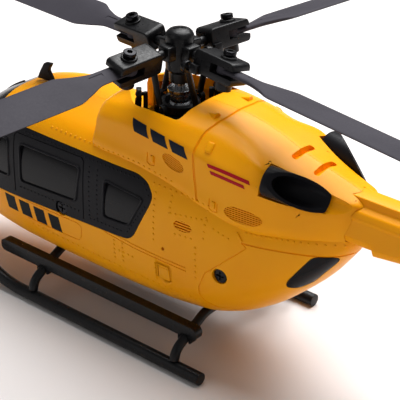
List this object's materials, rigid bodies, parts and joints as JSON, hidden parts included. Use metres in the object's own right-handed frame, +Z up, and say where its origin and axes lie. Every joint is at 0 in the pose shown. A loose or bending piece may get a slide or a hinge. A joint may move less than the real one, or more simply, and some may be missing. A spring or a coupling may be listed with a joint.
{
  "type": "helicopter scale model",
  "caption": "Electric scale model helicopter with feathering, folding rotor blades on a swashplate head, shrouded tail fan, dark glazing, exhausts and skid landing gear.",
  "frame": {"origin": "centre of the overall bounding box at the ground plane under the skids", "axes": "+X towards the nose, +Y to the left side, +Z up"},
  "size_m": [0.3196, 0.2552, 0.1005],
  "materials": {
    "moulded_shell": "semi-gloss injection moulded",
    "dark_glazing": "smooth gloss",
    "black_plastic": "satin moulded",
    "blade_plastic": "matt moulded",
    "steel": "ground bright",
    "black_screw": "black oxide",
    "gear_plastic": "natural acetal",
    "circuit_board": "solder mask",
    "battery_case": "fine texture"
  },
  "bodies": {
    "airframe": {"fuselage_left": "moulded_shell", "fuselage_right": "moulded_shell", "windscreen": "dark_glazing", "side_window_panel_left": "black_plastic", "side_window_panel_right": "black_plastic", "rear_window_left": "dark_glazing", "rear_window_right": "dark_glazing", "frame_screw_left": "black_screw", "frame_screw_right": "black_screw", "rear_door_screw_left": "black_screw", "rear_door_screw_right": "black_screw", "exhaust_left": "black_plastic", "exhaust_right": "black_plastic", "skid_left": "black_plastic", "skid_right": "black_plastic", "step_left": "black_plastic", "step_right": "black_plastic", "cross_tube_front": "black_plastic", "cross_tube_rear": "black_plastic", "tail_boom": "moulded_shell", "stabiliser": "moulded_shell", "tail_shroud": "moulded_shell", "chassis": "black_plastic", "main_motor": "steel", "circuit_board": "circuit_board", "servo_front": "black_plastic", "servo_left": "black_plastic", "servo_right": "black_plastic", "wire_cutter": "black_plastic"},
    "rotor": {"rotor_mast": "steel", "rotor_hub": "black_plastic", "main_gear": "gear_plastic"},
    "grip_1": {"blade_grip_1": "black_plastic", "blade_bolt_1": "black_screw"},
    "blade_1": {"blade_1": "blade_plastic"},
    "pitch_link_1": {"pitch_link_1": "black_plastic"},
    "grip_2": {"blade_grip_2": "black_plastic", "blade_bolt_2": "black_screw"},
    "blade_2": {"blade_2": "blade_plastic"},
    "pitch_link_2": {"pitch_link_2": "black_plastic"},
    "grip_3": {"blade_grip_3": "black_plastic", "blade_bolt_3": "black_screw"},
    "blade_3": {"blade_3": "blade_plastic"},
    "pitch_link_3": {"pitch_link_3": "black_plastic"},
    "grip_4": {"blade_grip_4": "black_plastic", "blade_bolt_4": "black_screw"},
    "blade_4": {"blade_4": "blade_plastic"},
    "pitch_link_4": {"pitch_link_4": "black_plastic"},
    "swash_sleeve": {"swash_sleeve": "steel"},
    "swash_lower": {"swash_lower_ring": "black_plastic", "servo_link_front": "black_plastic", "servo_link_left": "black_plastic", "servo_link_right": "black_plastic"},
    "swash_upper": {"swash_upper_ring": "black_plastic"},
    "servo_arm_front": {"servo_arm_front": "black_plastic"},
    "servo_arm_left": {"servo_arm_left": "black_plastic"},
    "servo_arm_right": {"servo_arm_right": "black_plastic"},
    "pinion": {"motor_pinion": "steel"},
    "tail_fan": {"tail_fan": "black_plastic"},
    "battery": {"battery_pack": "battery_case"}
  },
  "joints": [
    {"name": "rotor_spin", "type": "hinge", "parent": "airframe", "child": "rotor", "pos_m": [0.03222, 0, 0.06], "axis": [0, 0, 1], "continuous": true},
    {"name": "blade_pitch_1", "type": "hinge", "parent": "rotor", "child": "grip_1", "pos_m": [0.03222, 0, 0.0884], "axis": [0.9925, -0.1184, -0.0297], "range_deg": [-8.6, 8.6]},
    {"name": "pitch_link_swing_1", "type": "hinge", "parent": "grip_1", "child": "pitch_link_1", "pos_m": [0.03912, -0.00499, 0.08626], "axis": [0.9925, -0.1184, -0.0297], "range_deg": [-8.6, 8.6]},
    {"name": "blade_fold_1", "type": "hinge", "parent": "grip_1", "child": "blade_1", "pos_m": [0.05158, -0.00231, 0.08782], "axis": [0.0553, 0.2199, 0.9739], "range_deg": [-60, 60]},
    {"name": "blade_pitch_2", "type": "hinge", "parent": "rotor", "child": "grip_2", "pos_m": [0.03222, 0, 0.0884], "axis": [0.1184, 0.9925, -0.0297], "range_deg": [-8.6, 8.6]},
    {"name": "pitch_link_swing_2", "type": "hinge", "parent": "grip_2", "child": "pitch_link_2", "pos_m": [0.03721, 0.0069, 0.08626], "axis": [0.1184, 0.9925, -0.0297], "range_deg": [-8.6, 8.6]},
    {"name": "blade_fold_2", "type": "hinge", "parent": "grip_2", "child": "blade_2", "pos_m": [0.03453, 0.01935, 0.08782], "axis": [-0.2199, 0.0553, 0.9739], "range_deg": [-60, 60]},
    {"name": "blade_pitch_3", "type": "hinge", "parent": "rotor", "child": "grip_3", "pos_m": [0.03222, 0, 0.0884], "axis": [-0.9925, 0.1184, -0.0297], "range_deg": [-8.6, 8.6]},
    {"name": "pitch_link_swing_3", "type": "hinge", "parent": "grip_3", "child": "pitch_link_3", "pos_m": [0.02533, 0.00499, 0.08626], "axis": [-0.9925, 0.1184, -0.0297], "range_deg": [-8.6, 8.6]},
    {"name": "blade_fold_3", "type": "hinge", "parent": "grip_3", "child": "blade_3", "pos_m": [0.01287, 0.00231, 0.08782], "axis": [-0.0553, -0.2199, 0.9739], "range_deg": [-60, 60]},
    {"name": "blade_pitch_4", "type": "hinge", "parent": "rotor", "child": "grip_4", "pos_m": [0.03222, 0, 0.0884], "axis": [-0.1184, -0.9925, -0.0297], "range_deg": [-8.6, 8.6]},
    {"name": "pitch_link_swing_4", "type": "hinge", "parent": "grip_4", "child": "pitch_link_4", "pos_m": [0.02723, -0.0069, 0.08626], "axis": [-0.1184, -0.9925, -0.0297], "range_deg": [-8.6, 8.6]},
    {"name": "blade_fold_4", "type": "hinge", "parent": "grip_4", "child": "blade_4", "pos_m": [0.02992, -0.01935, 0.08782], "axis": [0.2199, -0.0553, 0.9739], "range_deg": [-60, 60]},
    {"name": "swash_collective", "type": "slide", "parent": "airframe", "child": "swash_sleeve", "axis": [0, 0, 1], "range_m": [-0.0006, 0.0006]},
    {"name": "swash_tilt", "type": "hinge", "parent": "swash_sleeve", "child": "swash_lower", "pos_m": [0.03222, 0, 0.069], "axis": [0, 1, 0], "range_deg": [-2, 2]},
    {"name": "swash_spin", "type": "hinge", "parent": "swash_lower", "child": "swash_upper", "pos_m": [0.03222, 0, 0.069], "axis": [0, 0, 1], "continuous": true},
    {"name": "servo_arm_turn_front", "type": "hinge", "parent": "airframe", "child": "servo_arm_front", "pos_m": [0.047, 0.00818, 0.0574], "axis": [0, 1, 0], "range_deg": [-6, 6]},
    {"name": "servo_arm_turn_left", "type": "hinge", "parent": "airframe", "child": "servo_arm_left", "pos_m": [0.03362, 0.00865, 0.0574], "axis": [0, 1, 0], "range_deg": [-6, 6]},
    {"name": "servo_arm_turn_right", "type": "hinge", "parent": "airframe", "child": "servo_arm_right", "pos_m": [0.03213, -0.00975, 0.0574], "axis": [0, 1, 0], "range_deg": [-6, 6]},
    {"name": "pinion_spin", "type": "hinge", "parent": "airframe", "child": "pinion", "pos_m": [0.05022, 0, 0.033], "axis": [0, 0, 1], "continuous": true},
    {"name": "tail_fan_spin", "type": "hinge", "parent": "airframe", "child": "tail_fan", "pos_m": [-0.13478, 0.00195, 0.062], "axis": [0, 1, 0], "continuous": true},
    {"name": "battery_slide", "type": "slide", "parent": "airframe", "child": "battery", "axis": [0, 0, -1], "range_m": [0, 0.01]}
  ],
  "couplings": [
    {"joint": "blade_pitch_1", "follows": "swash_collective", "rad_per_m": -241.69},
    {"joint": "pitch_link_swing_1", "follows": "swash_collective", "rad_per_m": 241.69},
    {"joint": "blade_pitch_2", "follows": "swash_collective", "rad_per_m": -241.69},
    {"joint": "pitch_link_swing_2", "follows": "swash_collective", "rad_per_m": 241.69},
    {"joint": "blade_pitch_3", "follows": "swash_collective", "rad_per_m": -241.69},
    {"joint": "pitch_link_swing_3", "follows": "swash_collective", "rad_per_m": 241.69},
    {"joint": "blade_pitch_4", "follows": "swash_collective", "rad_per_m": -241.69},
    {"joint": "pitch_link_swing_4", "follows": "swash_collective", "rad_per_m": 241.69},
    {"joint": "swash_spin", "follows": "rotor_spin", "ratio": 1},
    {"joint": "servo_arm_turn_front", "follows": "swash_collective", "rad_per_m": 166.67},
    {"joint": "servo_arm_turn_left", "follows": "swash_collective", "rad_per_m": 166.67},
    {"joint": "servo_arm_turn_right", "follows": "swash_collective", "rad_per_m": 166.67},
    {"joint": "pinion_spin", "follows": "rotor_spin", "ratio": -5}
  ]
}
